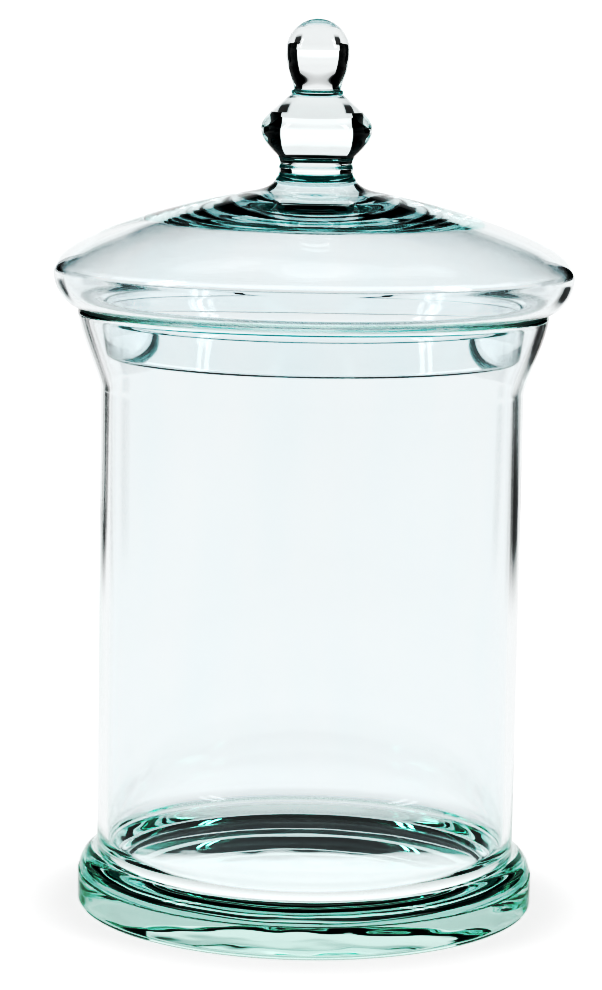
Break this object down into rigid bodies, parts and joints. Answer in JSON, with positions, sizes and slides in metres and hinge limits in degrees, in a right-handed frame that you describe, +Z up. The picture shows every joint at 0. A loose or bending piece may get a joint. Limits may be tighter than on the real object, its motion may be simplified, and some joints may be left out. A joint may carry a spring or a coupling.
{
  "type": "apothecary jar",
  "caption": "Clear glass apothecary jar with a flared mouth on a heavy glass foot, and a lift-off domed lid with a turned finial.",
  "frame": {"origin": "centre of the plane that the foot stands on", "axes": "+Z up along the axis of the jar, through the middle of the lid and finial; the jar is round, so X and Y are any two horizontal directions"},
  "size_m": [0.189, 0.189, 0.3252],
  "materials": {
    "jar_glass": "clear blown soda-lime glass with a faint green tint",
    "foot_glass": "clear solid glass, pale green through its thickness",
    "lid_glass": "clear blown soda-lime glass with a faint green tint",
    "finial_glass": "clear solid glass, fire polished"
  },
  "bodies": {
    "jar": {"jar_body": "jar_glass", "jar_foot": "foot_glass"},
    "lid": {"lid_dome": "lid_glass", "lid_flange": "lid_glass", "finial_stem": "finial_glass", "finial_knop": "finial_glass", "finial_ball": "finial_glass"}
  },
  "joints": [
    {"name": "lid_lift", "type": "slide", "parent": "jar", "child": "lid", "axis": [0, 0, 1], "range_m": [0, 0.06]}
  ]
}
